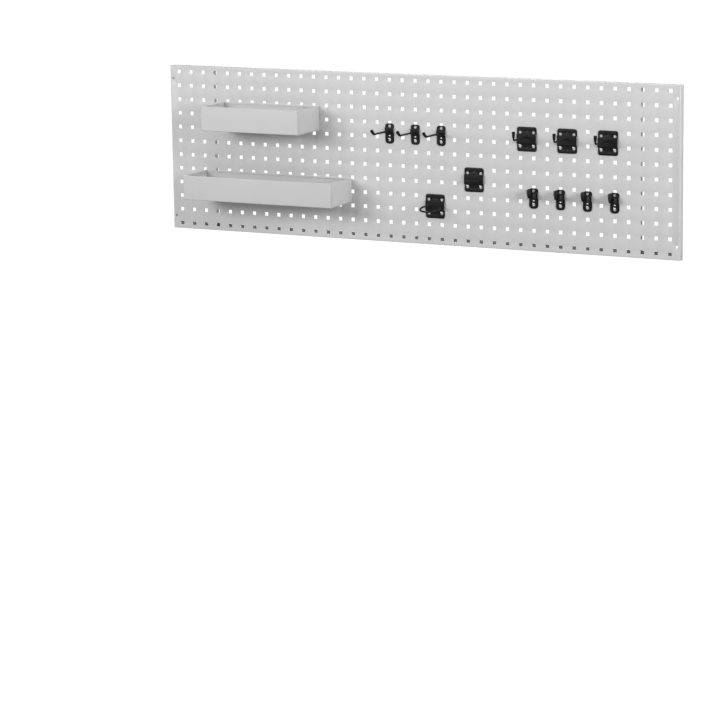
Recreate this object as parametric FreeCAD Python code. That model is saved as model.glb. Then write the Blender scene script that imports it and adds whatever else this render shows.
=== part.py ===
"""Perforated steel panel with twelve lift-off tool holders and two lift-off trays, in millimetres.

The origin is the centre of the panel's front face, which is also the centre of its four fixing holes.
X runs to the right along the panel, Y runs back towards the wall and Z is up.
Columns of square holes are counted from the left and rows from the top, both from 0.
"""
import FreeCAD, Part
import math
import os

V = FreeCAD.Vector

# Hole grid of the panel
hole_columns = 39
hole_rows = 12
hole_pitch = 38.0
hole_side = 10.0

# Folded panel sheet
panel_sheet = 1.5
panel_side_margin = 28.0
panel_end_margin = 16.0
panel_depth = 18.5
panel_bend_inner_radius = 1.0
panel_corner_seam = 0.4
bottom_lip_height = 17.2
bottom_lip_end_gap = 1.0
fixing_hole_diameter = 7.0
fixing_hole_rows_in = 1.0

# Stiffening channels behind the panel
stiffener_columns_in = 2.5
stiffener_sheet = 1.5
stiffener_hole_gap = 1.5
stiffener_weld_lip = 7.0
stiffener_bend_inner_radius = 1.0
stiffener_end_gap = 1.2

# Hooks that hold every accessory over the lower edge of a square hole
hook_width = 7.0
hook_thickness = 2.0
hook_drop = 5.0
hook_back_gap = 0.3
hook_front_gap = 0.2
hook_lift_gap = 0.2
hook_inner_bend_radius = 0.5
hook_outer_bend_radius = 1.8
hook_end_radius = 0.8
tongue_width = 5.0
tongue_rise = 1.8
tongue_overhang = 3.0

# Holder plates
plate_sheet = 1.5
plate_band_rise = 4.0
plate_band_slope = 2.5
plate_bend_inner_radius = 0.8
plate_hole_diameter = 8.4
plate_upper_hole_drop = 8.7
plate_lower_hole_drop = 7.2
plate_tongue_relief_drop = 2.4
narrow_plate_top_drop = 1.9
narrow_plate_bottom_below_lower_row = 17.5
narrow_plate_width = 25.4
narrow_plate_top_radius = 7.0
narrow_plate_bottom_radius = 9.5
narrow_band_top_drop = 14.0
narrow_band_bottom_drop = 29.0
narrow_window_width = 4.6
narrow_window_height = 2.6
narrow_window_above_lower_row = 3.5
wide_plate_margin = 8.6
wide_plate_cover = 0.6
wide_plate_bottom_below_lower_row = 20.7
wide_plate_corner_radius = 6.5
wide_band_top_drop = 13.0
wide_band_bottom_drop = 38.0
wide_mark_diameter = 2.2
wide_mark_top_drop = 4.5
wide_mark_bottom_drop = 49.0

# Round rods of the hooks, the loop and the ring
rod_diameter = 5.0
rod_bend_radius = 6.0
rod_tip_round = 1.4
rod_weld_leg = 1.5

# Plastic caps on the tips of the hooks
cap_length = 15.4
cap_end_wall = 1.5
cap_mouth_wall = 1.05
cap_end_diameter = 8.8
cap_end_round = 1.3

# Hooks with one rod and a slanted tip
slanted_hook_columns = (17, 19, 21)
slanted_hook_row = 3
slanted_rod_drop = 21.2
slanted_rod_reach = 92.5
slanted_tip_reach = 14.0
slanted_tip_rise = 11.5

# Hooks with one rod and an upright tip
upright_hook_columns = (27, 30, 33)
upright_hook_row = 3
upright_rod_drop = 20.2
upright_rod_reach = 84.0
upright_tip_reach = 0.5
upright_tip_rise = 22.5

# Holder with a wire loop for pliers
pliers_column = 23
pliers_row = 6
pliers_loop_drop = 28.0
pliers_loop_reach = 19.0

# Holder with a sloping ring
ring_column = 20
ring_row = 8
ring_drop = 23.8
ring_radius = 26.4
ring_slope_degrees = 11.2
ring_weld_flat = 1.0

# Spring clips
clip_columns = (28, 30, 32, 34)
clip_row = 7
clip_sheet = 1.2
clip_tall_arm_height = 24.5
clip_short_arm_height = 11.5
clip_top_drop = 3.0
clip_base_half_width = 9.2
clip_bulge_half_width = 10.4
clip_throat_half_width = 6.3
clip_tip_half_width = 9.4
clip_bulge_reach = 10.2
clip_throat_reach = 15.2
clip_tip_reach = 18.8
clip_base_bend_radius = 4.5
clip_bulge_bend_radius = 5.0
clip_throat_bend_radius = 1.6
clip_lower_front_reach = 16.5
clip_lower_front_rise = 3.5
clip_bottom_reach = 12.5
clip_edge_radius = 1.5
clip_foot_half_width = 5.0
rivet_diameter = 4.0
rivet_head_diameter = 8.0
rivet_head_height = 1.6
rivet_head_round = 1.1
rivet_tail_diameter = 6.4
rivet_tail_height = 1.2

# Trays
tray_sheet = 1.2
tray_depth = 125.0
tray_height = 66.3
tray_top_above_hook_row = 36.5
tray_bend_radius = 1.9
tray_hem_height = 5.0
tray_hem_gap = 0.3
tray_seam_gap = 0.4
tray_front_flange = 17.0
tray_back_flange = 10.0
tray_end_weld_flange = 8.0
small_tray_length = 295.0
small_tray_middle_column = 7.5
small_tray_hook_columns = (5, 10)
small_tray_row = 3
small_tray_side_shift = 1.3
large_tray_length = 451.0
large_tray_middle_column = 8.0
large_tray_hook_columns = (4, 8, 12)
large_tray_row = 8
large_tray_side_shift = 0.5

# Places worked out from the sizes above
panel_length = (hole_columns - 1) * hole_pitch + 2 * panel_side_margin
panel_height = (hole_rows - 1) * hole_pitch + 2 * panel_end_margin
half_hole = hole_side / 2
accessory_back = -hook_front_gap
plate_front = accessory_back - plate_sheet
band_front = plate_front - plate_band_rise
rod_radius = rod_diameter / 2
plate_hole_radius = plate_hole_diameter / 2
shortest_edge = 1e-6
cutter_margin = 1.0


def column_x(column):
    """Middle of a column of holes, which may be a half number between two columns."""
    return (column - (hole_columns - 1) / 2) * hole_pitch


def row_z(row):
    """Middle of a row of holes."""
    return ((hole_rows - 1) / 2 - row) * hole_pitch


def corner_arc(before, corner, after, radius):
    """Start, middle and end of the arc that rounds one corner of a line."""
    to_before = (before - corner).normalize()
    to_after = (after - corner).normalize()
    half_angle = to_before.getAngle(to_after) / 2
    bisector = (to_before + to_after).normalize()
    cut_back = radius / math.tan(half_angle)
    centre = corner + bisector * (radius / math.sin(half_angle))
    return corner + to_before * cut_back, centre - bisector * radius, corner + to_after * cut_back


def rounded_edges(points, radii, closed):
    """Straight edges through the points, with an arc of its own radius at each corner."""
    count = len(points)
    spans = []
    for i, (point, radius) in enumerate(zip(points, radii)):
        is_end = not closed and i in (0, count - 1)
        if radius > 0 and not is_end:
            spans.append(corner_arc(points[i - 1], point, points[(i + 1) % count], radius))
        else:
            spans.append((point,))
    edges = []
    last_span = count if closed else count - 1
    for i in range(count):
        if len(spans[i]) == 3:
            edges.append(Part.Arc(*spans[i]).toShape())
        start, end = spans[i][-1], spans[(i + 1) % count][0]
        if i < last_span and start.distanceToPoint(end) > shortest_edge:
            edges.append(Part.makeLine(start, end))
    return edges


def rounded_face(points, radii):
    """Flat face inside a closed outline with rounded corners."""
    return Part.Face(Part.Wire(rounded_edges(points, radii, True)))


def cross_2d(a, b):
    """Cross product of two plane vectors given as pairs."""
    return a[0] * b[1] - a[1] * b[0]


def strip_outline(line, radii, thickness):
    """Outline of a folded strip about its middle line, as pairs with the radius at each corner.

    The middle line is a list of pairs, and radii are those of the middle line at its corners.
    """
    half = thickness / 2
    count = len(line)
    ways = []
    for (a0, b0), (a1, b1) in zip(line, line[1:]):
        length = math.hypot(a1 - a0, b1 - b0)
        ways.append(((a1 - a0) / length, (b1 - b0) / length))
    left = []
    right = []
    for i, (a, b) in enumerate(line):
        way_in = ways[max(i - 1, 0)]
        way_out = ways[min(i, count - 2)]
        normal = (-way_in[1] - way_out[1], way_in[0] + way_out[0])
        size = math.hypot(*normal)
        normal = (normal[0] / size, normal[1] / size)
        reach = half / (normal[1] * way_out[0] - normal[0] * way_out[1])
        turn = cross_2d(way_in, way_out)
        inner = max(radii[i] - half, 0.0) if turn else 0.0
        outer = radii[i] + half if turn and radii[i] > 0 else 0.0
        left_radius, right_radius = (inner, outer) if turn > 0 else (outer, inner)
        left.append((a + normal[0] * reach, b + normal[1] * reach, left_radius))
        right.append((a - normal[0] * reach, b - normal[1] * reach, right_radius))
    return left + right[::-1]


def strip(line, radii, thickness, place, along):
    """Folded strip: its outline is placed in space by a function and extruded along a vector."""
    outline = strip_outline(line, radii, thickness)
    points = [place(a, b) for a, b, _ in outline]
    return rounded_face(points, [radius for _, _, radius in outline]).extrude(along)


def block(x0, x1, y0, y1, z0, z1):
    """Box between two limits on each axis."""
    return Part.makeBox(x1 - x0, y1 - y0, z1 - z0, V(x0, y0, z0))


def through_hole(x, z, radius, y0, y1):
    """Round cutter along Y."""
    return Part.makeCylinder(radius, y1 - y0, V(x, y0, z), V(0, 1, 0))


def rod(points, bend_radius, rounded_tip):
    """Round rod along a bent line, with a weld collar at its first point and a rounded far end."""
    path = Part.Wire(rounded_edges(points, [bend_radius] * len(points), False))
    way = (points[1] - points[0]).normalize()
    section = Part.Wire(Part.makeCircle(rod_radius, points[0], way))
    solid = path.makePipeShell([section], True, False)
    if rounded_tip:
        near_tip = [e for e in solid.Edges if e.BoundBox.Center.distanceToPoint(points[-1]) < rod_tip_round]
        solid = solid.makeFillet(rod_tip_round, near_tip)
    return solid.fuse(weld_collar(points[0], way)).removeSplitter()


def weld_collar(foot, way):
    """Bead of weld where a rod stands on its plate."""
    return Part.makeCone(rod_radius + rod_weld_leg, rod_radius, rod_weld_leg, foot, way)


def hook(x, hole_z, start_y):
    """Flat hook from start_y through a square hole and down behind the panel."""
    inner_y = panel_sheet + hook_back_gap
    outer_y = inner_y + hook_thickness
    seat = hole_z - half_hole
    outline = [
        (start_y, seat),
        (inner_y, seat),
        (inner_y, seat - hook_drop),
        (outer_y, seat - hook_drop),
        (outer_y, seat + hook_thickness),
        (start_y, seat + hook_thickness),
    ]
    points = [V(x - hook_width / 2, y, z) for y, z in outline]
    radii = [0, 0, hook_inner_bend_radius, hook_end_radius, hook_outer_bend_radius, 0]
    return rounded_face(points, radii).extrude(V(hook_width, 0, 0))


def tongue(x, hole_z, start_y):
    """Flat tongue from start_y straight back through a square hole, clear of its edges."""
    half = tongue_width / 2
    bottom = hole_z - half_hole + tongue_rise
    return block(x - half, x + half, start_y, panel_sheet + tongue_overhang, bottom, bottom + hook_thickness)


def perforated_panel():
    """Shallow folded pan with the grid of square holes, four fixing holes and a lip along the bottom."""
    half_length = panel_length / 2
    half_height = panel_height / 2
    bend_outer = panel_bend_inner_radius + panel_sheet
    outer = block(-half_length, half_length, 0, panel_depth, -half_height, half_height)
    front_edges = [e for e in outer.Edges if e.BoundBox.YMax < panel_sheet / 2]
    outer = outer.makeFillet(bend_outer, front_edges)
    inner = block(
        -half_length + panel_sheet, half_length - panel_sheet,
        panel_sheet, panel_depth * 2,
        -half_height + panel_sheet, half_height - panel_sheet,
    )
    inner_edges = [e for e in inner.Edges if e.BoundBox.YMax < panel_sheet + cutter_margin]
    inner = inner.makeFillet(panel_bend_inner_radius, inner_edges)
    flat_x = half_length - bend_outer
    flat_z = half_height - bend_outer
    pan = outer.cut(inner)
    pan = pan.cut(block(-flat_x, flat_x, -cutter_margin, panel_sheet + cutter_margin, -flat_z, flat_z))
    pan = pan.fuse(perforated_sheet(flat_x, flat_z))
    pan = pan.cut(flange_seams(half_length, half_height, bend_outer))
    return add_bottom_lip(pan, half_length, half_height).removeSplitter()


def perforated_sheet(flat_x, flat_z):
    """The flat of the panel between its bends, with all its holes."""
    def rectangle(x0, x1, z0, z1):
        """Closed rectangle on the front face."""
        return Part.makePolygon([V(x0, 0, z0), V(x1, 0, z0), V(x1, 0, z1), V(x0, 0, z1), V(x0, 0, z0)])

    wires = [rectangle(-flat_x, flat_x, -flat_z, flat_z)]
    for column in range(hole_columns):
        for row in range(hole_rows):
            x, z = column_x(column), row_z(row)
            wires.append(rectangle(x - half_hole, x + half_hole, z - half_hole, z + half_hole))
    for x in (column_x(-0.5), column_x(hole_columns - 0.5)):
        for z in (row_z(fixing_hole_rows_in - 0.5), row_z(hole_rows - fixing_hole_rows_in - 0.5)):
            wires.append(Part.Wire(Part.makeCircle(fixing_hole_diameter / 2, V(x, 0, z), V(0, 1, 0))))
    face = Part.makeFace(wires, "Part::FaceMakerBullseye")
    return face.extrude(V(0, panel_sheet, 0))


def flange_seams(half_length, half_height, bend_outer):
    """Narrow open seams where the side flanges meet the top and bottom flanges."""
    cutters = []
    for x in (-half_length, half_length - panel_sheet):
        for z in (-half_height + panel_sheet, half_height - panel_sheet - panel_corner_seam):
            cutters.append(block(
                x - cutter_margin, x + panel_sheet + cutter_margin, bend_outer, panel_depth + cutter_margin,
                z, z + panel_corner_seam,
            ))
    return Part.makeCompound(cutters)


def add_bottom_lip(pan, half_length, half_height):
    """Folds the rear edge of the bottom flange upwards into a lip."""
    lip_bend = panel_bend_inner_radius + panel_sheet / 2
    end = half_length - panel_sheet - bottom_lip_end_gap
    start_y = panel_depth - panel_sheet - 2 * lip_bend
    middle_z = -half_height + panel_sheet / 2
    middle_y = panel_depth - panel_sheet / 2
    line = [(start_y, middle_z), (middle_y, middle_z), (middle_y, -half_height + bottom_lip_height)]
    lip = strip(line, [0, lip_bend, 0], panel_sheet, lambda y, z: V(-end, y, z), V(2 * end, 0, 0))
    old_edge = block(
        -end, end, start_y, panel_depth + cutter_margin,
        -half_height - cutter_margin, -half_height + panel_sheet + cutter_margin,
    )
    return pan.cut(old_edge).fuse(lip)


def stiffener(middle_x):
    """Upright channel welded to the back of the panel between two columns of holes."""
    half_width = (hole_pitch - hole_side) / 2 - stiffener_hole_gap
    side = half_width - stiffener_sheet / 2
    lip = half_width - stiffener_weld_lip
    front = panel_sheet + stiffener_sheet / 2
    back = panel_depth - stiffener_sheet / 2
    bend = stiffener_bend_inner_radius + stiffener_sheet / 2
    line = [(-lip, front), (-side, front), (-side, back), (side, back), (side, front), (lip, front)]
    bottom = -panel_height / 2 + bottom_lip_height
    top = panel_height / 2 - panel_sheet - stiffener_end_gap
    return strip(
        line, [0, bend, bend, bend, bend, 0], stiffener_sheet,
        lambda x, y: V(middle_x + x, y, bottom), V(0, 0, top - bottom),
    )


def stepped_sheet(width, top, bottom, band_top, band_bottom):
    """Sheet of a holder plate with its middle band pressed forwards."""
    back = accessory_back - plate_sheet / 2
    front = back - plate_band_rise
    bend = plate_bend_inner_radius + plate_sheet / 2
    line = [
        (back, top),
        (back, band_top + plate_band_slope),
        (front, band_top),
        (front, band_bottom),
        (back, band_bottom - plate_band_slope),
        (back, bottom),
    ]
    return strip(
        line, [0, bend, bend, bend, bend, 0], plate_sheet,
        lambda y, z: V(-width / 2, y, z), V(width, 0, 0),
    )


def plate_outline(width, top, bottom, top_radius, bottom_radius):
    """Prism with the plate's outline seen from the front."""
    half = width / 2
    depth = plate_band_rise + 2 * plate_sheet + cutter_margin
    points = [V(-half, -depth, bottom), V(half, -depth, bottom), V(half, -depth, top), V(-half, -depth, top)]
    radii = [bottom_radius, bottom_radius, top_radius, top_radius]
    return rounded_face(points, radii).extrude(V(0, depth, 0))


def plate_holes(x, row):
    """Cutters for the round holes under a plate's hook and tongue, and the relief left of the tongue."""
    upper = row_z(row) - plate_upper_hole_drop
    lower = row_z(row + 1) - plate_lower_hole_drop
    front = plate_front - cutter_margin
    cuts = [through_hole(x, z, plate_hole_radius, front, cutter_margin) for z in (upper, lower)]
    cuts.append(block(
        x - plate_hole_radius, x - tongue_width / 2, front, cutter_margin,
        lower, row_z(row + 1) - plate_tongue_relief_drop,
    ))
    return cuts


def plate_hooks(x, row):
    """The hook and the tongue below it that one column of a plate has."""
    start_y = accessory_back - plate_sheet / 2
    return [hook(x, row_z(row), start_y), tongue(x, row_z(row + 1), start_y)]


def narrow_plate(column, row):
    """Narrow holder plate with a hook over a tongue, and the window above the tongue."""
    upper = row_z(row)
    lower = row_z(row + 1)
    top = upper - narrow_plate_top_drop
    bottom = lower - narrow_plate_bottom_below_lower_row
    plate = stepped_sheet(
        narrow_plate_width, top, bottom, upper - narrow_band_top_drop - plate_band_slope / 2,
        upper - narrow_band_bottom_drop + plate_band_slope / 2,
    )
    plate = plate.common(plate_outline(
        narrow_plate_width, top, bottom, narrow_plate_top_radius, narrow_plate_bottom_radius,
    ))
    cuts = plate_holes(0, row)
    half_width = narrow_window_width / 2
    half_height = narrow_window_height / 2
    window_z = lower + narrow_window_above_lower_row
    cuts.append(block(
        -half_width, half_width, plate_front - cutter_margin, cutter_margin,
        window_z - half_height, window_z + half_height,
    ))
    plate = plate.cut(Part.makeCompound(cuts))
    plate = plate.fuse(plate_hooks(0, row)).removeSplitter()
    plate.translate(V(column_x(column), 0, 0))
    return plate


def wide_plate(column, row):
    """Wide holder plate across two columns, with a pair of hooks over a pair of tongues."""
    upper = row_z(row)
    lower = row_z(row + 1)
    width = hole_pitch + 2 * wide_plate_margin
    top = upper + half_hole + wide_plate_cover
    bottom = lower - wide_plate_bottom_below_lower_row
    plate = stepped_sheet(
        width, top, bottom, upper - wide_band_top_drop - plate_band_slope / 2,
        upper - wide_band_bottom_drop + plate_band_slope / 2,
    )
    plate = plate.common(plate_outline(
        width, top, bottom, wide_plate_corner_radius, wide_plate_corner_radius,
    ))
    cuts = plate_holes(-hole_pitch / 2, row) + plate_holes(hole_pitch / 2, row)
    for drop in (wide_mark_top_drop, wide_mark_bottom_drop):
        cuts.append(through_hole(
            0, upper - drop, wide_mark_diameter / 2, plate_front - cutter_margin, cutter_margin,
        ))
    plate = plate.cut(Part.makeCompound(cuts))
    hooks = plate_hooks(-hole_pitch / 2, row) + plate_hooks(hole_pitch / 2, row)
    plate = plate.fuse(hooks).removeSplitter()
    plate.translate(V(column_x(column + 0.5), 0, 0))
    return plate


def hook_nodes(name, x, z, reach, tip_reach, tip_rise):
    """The rod of a hook, straight out from its plate and bent up to its tip, and the cap on the tip."""
    elbow = V(x, -reach, z)
    way = V(0, -tip_reach, tip_rise).normalize()
    tip_length = math.hypot(tip_reach, tip_rise)
    rod_end = elbow + way * (tip_length - cap_end_wall)
    return {
        name + "_rod": rod([V(x, band_front, z), elbow, rod_end], rod_bend_radius, True),
        name + "_cap": tip_cap(elbow + way * (tip_length - cap_length), way),
    }


def tip_cap(mouth, way):
    """Cap pressed over the end of a rod, slightly wider at its closed end than at its mouth."""
    across = V(1, 0, 0)
    bore_depth = cap_length - cap_end_wall
    outline = [
        (rod_radius, 0),
        (rod_radius + cap_mouth_wall, 0),
        (cap_end_diameter / 2, cap_length),
        (0, cap_length),
        (0, bore_depth),
        (rod_radius, bore_depth),
    ]
    points = [mouth + across * out + way * along for out, along in outline]
    return rounded_face(points, [0, 0, cap_end_round, 0, 0, 0]).revolve(mouth, way, 360)


def pliers_loop():
    """Wire loop in front of the plate, level with its two feet."""
    left = column_x(pliers_column)
    right = column_x(pliers_column + 1)
    z = row_z(pliers_row) - pliers_loop_drop
    front = -pliers_loop_reach
    points = [V(left, band_front, z), V(left, front, z), V(right, front, z), V(right, band_front, z)]
    loop = rod(points, rod_bend_radius, False)
    return loop.fuse(weld_collar(points[-1], V(0, -1, 0))).removeSplitter()


def tool_ring():
    """Ring that slopes down away from the plate, flattened where it is welded on."""
    x = column_x(ring_column + 0.5)
    slope = math.radians(ring_slope_degrees)
    inner_y = band_front - rod_radius + ring_weld_flat
    inner_z = row_z(ring_row) - ring_drop
    centre = V(x, inner_y - ring_radius * math.cos(slope), inner_z - ring_radius * math.sin(slope))
    ring = Part.makeTorus(ring_radius, rod_radius, centre, V(0, -math.sin(slope), math.cos(slope)))
    reach = ring_radius + 2 * rod_diameter
    return ring.cut(block(x - reach, x + reach, band_front, rod_diameter, inner_z - reach, inner_z + reach))


def clip_spring(column):
    """Bent spring with two arms that grip a round handle, seen from above as a narrow-necked U.

    The left arm is tall. The base and the right arm are short and leave the plate's upper hole in sight.
    """
    x = column_x(column)
    base = -clip_sheet / 2
    left_half = [
        (-clip_tip_half_width, -clip_tip_reach),
        (-clip_throat_half_width, -clip_throat_reach),
        (-clip_bulge_half_width, -clip_bulge_reach),
        (-clip_base_half_width, base),
    ]
    line = left_half + [(-a, b) for a, b in reversed(left_half)]
    half_radii = [0, clip_throat_bend_radius, clip_bulge_bend_radius, clip_base_bend_radius]
    radii = half_radii + half_radii[::-1]
    top = row_z(clip_row) - clip_top_drop
    bottom = top - clip_tall_arm_height
    spring = strip(
        line, radii, clip_sheet,
        lambda a, b: V(x + a, band_front + b, bottom), V(0, 0, clip_tall_arm_height),
    )
    reach = clip_tip_reach + clip_sheet
    side = [
        (0, bottom),
        (clip_bottom_reach, bottom),
        (clip_lower_front_reach, bottom + clip_lower_front_rise),
        (reach, top),
        (0, top),
    ]
    side_points = [V(x - reach, band_front - y, z) for y, z in side]
    side_radii = [0, clip_edge_radius, clip_edge_radius, clip_edge_radius, 0]
    spring = spring.common(rounded_face(side_points, side_radii).extrude(V(2 * reach, 0, 0)))
    above_base = block(
        x - clip_foot_half_width, x + reach, band_front - 2 * reach, band_front + cutter_margin,
        bottom + clip_short_arm_height, top + cutter_margin,
    )
    rivet_bore = through_hole(
        x, rivet_z(), rivet_diameter / 2, band_front - reach, band_front + cutter_margin,
    )
    return spring.cut(Part.makeCompound([above_base, rivet_bore]))


def rivet_z():
    """Height of the rivets, at the middle of the narrow plate's band."""
    return row_z(clip_row) - (narrow_band_top_drop + narrow_band_bottom_drop) / 2


def clip_rivet(column):
    """Rivet through the clip's base and the plate's band."""
    x = column_x(column)
    z = rivet_z()
    head_y = band_front - clip_sheet
    tail_y = band_front + plate_sheet
    head = Part.makeCylinder(
        rivet_head_diameter / 2, rivet_head_height, V(x, head_y - rivet_head_height, z), V(0, 1, 0),
    )
    head_edges = [e for e in head.Edges if e.BoundBox.YMax < head_y - rivet_head_height / 2]
    head = head.makeFillet(rivet_head_round, head_edges)
    shank = Part.makeCylinder(rivet_diameter / 2, tail_y - head_y, V(x, head_y, z), V(0, 1, 0))
    tail = Part.makeCylinder(rivet_tail_diameter / 2, rivet_tail_height, V(x, tail_y, z), V(0, 1, 0))
    return head.fuse([shank, tail]).removeSplitter()


def clip_plate(column):
    """Narrow plate drilled for the rivet of its clip."""
    x = column_x(column)
    return narrow_plate(column, clip_row).cut(
        through_hole(x, rivet_z(), rivet_diameter / 2, band_front - cutter_margin, 0),
    )


class Tray:
    """Sizes and places of one tray, and its three sheet pieces."""

    def __init__(self, length, middle_column, hook_columns, row, side_shift):
        """Limits on each axis, from the tray's length and the holes it hangs in."""
        middle = column_x(middle_column) + side_shift
        self.left = middle - length / 2
        self.right = middle + length / 2
        self.back = accessory_back
        self.front = accessory_back - tray_depth
        self.top = row_z(row) + tray_top_above_hook_row
        self.bottom = self.top - tray_height
        self.hooks = [(column_x(c) + side_shift, row_z(row)) for c in hook_columns]

    def shell(self):
        """Back, bottom and front walls folded from one sheet, with hems, corner flanges and hooks."""
        half = tray_sheet / 2
        hem = half + tray_hem_gap / 2
        front = self.front + half
        back = self.back - half
        bottom = self.bottom + half
        top = self.top - half
        hem_end = self.top - tray_hem_height
        line = [
            (front + 2 * hem, hem_end),
            (front + 2 * hem, top),
            (front, top),
            (front, bottom),
            (back, bottom),
            (back, top),
            (back - 2 * hem, top),
            (back - 2 * hem, hem_end),
        ]
        radii = [0, hem, hem, tray_bend_radius, tray_bend_radius, hem, hem, 0]
        start = self.left + tray_sheet
        walls = strip(
            line, radii, tray_sheet, lambda y, z: V(start, y, z),
            V(self.right - self.left - 2 * tray_sheet, 0, 0),
        )
        corner = tray_bend_radius + half
        pieces = []
        for side, inward in ((self.left, 1), (self.right, -1)):
            for wall_y, depthwise, flange in (
                (self.front, 1, tray_front_flange),
                (self.back, -1, tray_back_flange),
            ):
                x0, x1 = sorted((side - inward * cutter_margin, side + inward * corner))
                y0, y1 = sorted((wall_y - depthwise * cutter_margin, wall_y + depthwise * corner))
                walls = walls.cut(block(
                    x0, x1, y0, y1, self.bottom - cutter_margin, self.top + cutter_margin,
                ))
                pieces.append(self.corner_flange(side, inward, wall_y, depthwise, flange))
        pieces += [hook(x, z, back) for x, z in self.hooks]
        return walls.fuse(pieces).removeSplitter()

    def corner_flange(self, side, inward, wall_y, depthwise, flange):
        """Narrow flange folded from one end of the front or back wall along the outside of an end wall."""
        half = tray_sheet / 2
        corner = tray_bend_radius + half
        line = [
            (side + inward * corner, wall_y + depthwise * half),
            (side + inward * half, wall_y + depthwise * half),
            (side + inward * half, wall_y + depthwise * flange),
        ]
        low = self.bottom + tray_sheet + tray_seam_gap
        return strip(
            line, [0, tray_bend_radius, 0], tray_sheet,
            lambda x, y: V(x, y, low), V(0, 0, self.top - low),
        )

    def end_wall(self, side, inward):
        """End wall inside the corner flanges, hemmed at the top and welded down by its own flange.

        It stops short of the bends of the corner flanges, and its hem short of the other hems.
        """
        half = tray_sheet / 2
        hem = half + tray_hem_gap / 2
        bend_depth = tray_bend_radius + half
        middle = side + inward * (tray_sheet + half)
        foot = self.bottom + tray_sheet + half
        line = [
            (middle + inward * tray_end_weld_flange, foot),
            (middle, foot),
            (middle, self.top - half),
            (middle + inward * 2 * hem, self.top - half),
            (middle + inward * 2 * hem, self.top - tray_hem_height),
        ]
        wall = strip(
            line, [0, tray_bend_radius, hem, hem, 0], tray_sheet,
            lambda x, z: V(x, self.front + bend_depth, z), V(0, tray_depth - 2 * bend_depth, 0),
        )
        x0, x1 = sorted((side, side + inward * 2 * tray_end_weld_flange))
        hem_depth = 2 * tray_sheet + tray_hem_gap + tray_seam_gap
        hem_bottom = self.top - tray_hem_height - tray_seam_gap
        notches = []
        for wall_y, depthwise in ((self.front, 1), (self.back, -1)):
            y0, y1 = sorted((wall_y, wall_y + depthwise * hem_depth))
            notches.append(block(x0, x1, y0, y1, hem_bottom, self.top + cutter_margin))
        return wall.cut(Part.makeCompound(notches))


def tray_nodes(name, tray):
    """The three pieces of a tray under their names."""
    return {
        name + "_shell": tray.shell(),
        name + "_left_end": tray.end_wall(tray.left, 1),
        name + "_right_end": tray.end_wall(tray.right, -1),
    }


def build_nodes():
    """Every piece of the object, by name."""
    nodes = {
        "perforated_panel": perforated_panel(),
        "left_stiffener": stiffener(column_x(stiffener_columns_in)),
        "right_stiffener": stiffener(column_x(hole_columns - 1 - stiffener_columns_in)),
    }
    for number, column in enumerate(slanted_hook_columns, 1):
        name = f"slanted_hook_{number}"
        rod_z = row_z(slanted_hook_row) - slanted_rod_drop
        nodes[name + "_plate"] = narrow_plate(column, slanted_hook_row)
        nodes.update(hook_nodes(
            name, column_x(column), rod_z, slanted_rod_reach, slanted_tip_reach, slanted_tip_rise,
        ))
    for number, column in enumerate(upright_hook_columns, 1):
        name = f"upright_hook_{number}"
        rod_z = row_z(upright_hook_row) - upright_rod_drop
        nodes[name + "_plate"] = wide_plate(column, upright_hook_row)
        nodes.update(hook_nodes(
            name, column_x(column + 0.5), rod_z, upright_rod_reach, upright_tip_reach, upright_tip_rise,
        ))
    nodes["pliers_holder_plate"] = wide_plate(pliers_column, pliers_row)
    nodes["pliers_holder_loop"] = pliers_loop()
    nodes["ring_holder_plate"] = wide_plate(ring_column, ring_row)
    nodes["ring_holder_ring"] = tool_ring()
    for number, column in enumerate(clip_columns, 1):
        name = f"spring_clip_{number}"
        nodes[name + "_plate"] = clip_plate(column)
        nodes[name + "_spring"] = clip_spring(column)
        nodes[name + "_rivet"] = clip_rivet(column)
    nodes.update(tray_nodes("small_tray", Tray(
        small_tray_length, small_tray_middle_column, small_tray_hook_columns, small_tray_row,
        small_tray_side_shift,
    )))
    nodes.update(tray_nodes("large_tray", Tray(
        large_tray_length, large_tray_middle_column, large_tray_hook_columns, large_tray_row,
        large_tray_side_shift,
    )))
    return nodes


def main():
    """Writes each piece to its own STEP file."""
    os.makedirs("parts", exist_ok=True)
    for name, shape in build_nodes().items():
        solids = shape.Solids
        if len(solids) == 1:
            shape = solids[0]
        shape.exportStep(f"parts/{name}.step")
        box = shape.BoundBox
        print(
            f"{name}: {len(solids)} solid, {shape.Volume:.1f} mm3, valid {shape.isValid()}, "
            f"x {box.XMin:.1f} to {box.XMax:.1f}, y {box.YMin:.1f} to {box.YMax:.1f}, "
            f"z {box.ZMin:.1f} to {box.ZMax:.1f}"
        )
    tray_lift = hole_side - hook_thickness - hook_lift_gap
    print(f"lift of a tray {tray_lift:.2f} mm, lift of a holder {tray_lift - tongue_rise:.2f} mm")


main()
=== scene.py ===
"""Looks of a perforated steel wall panel with lift-off tool holders and trays.

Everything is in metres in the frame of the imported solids: X to the right, Y back to the wall, Z up.
Sheet pieces are copies of the solids with softened edges. Rods, caps, wires, rivets and welds are
modelled afresh along the same lines.
"""
import logging
import math
from collections.abc import Iterable, Iterator
from dataclasses import dataclass
from enum import Enum

import bmesh
import bpy
from mathutils import Matrix, Vector, noise


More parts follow.
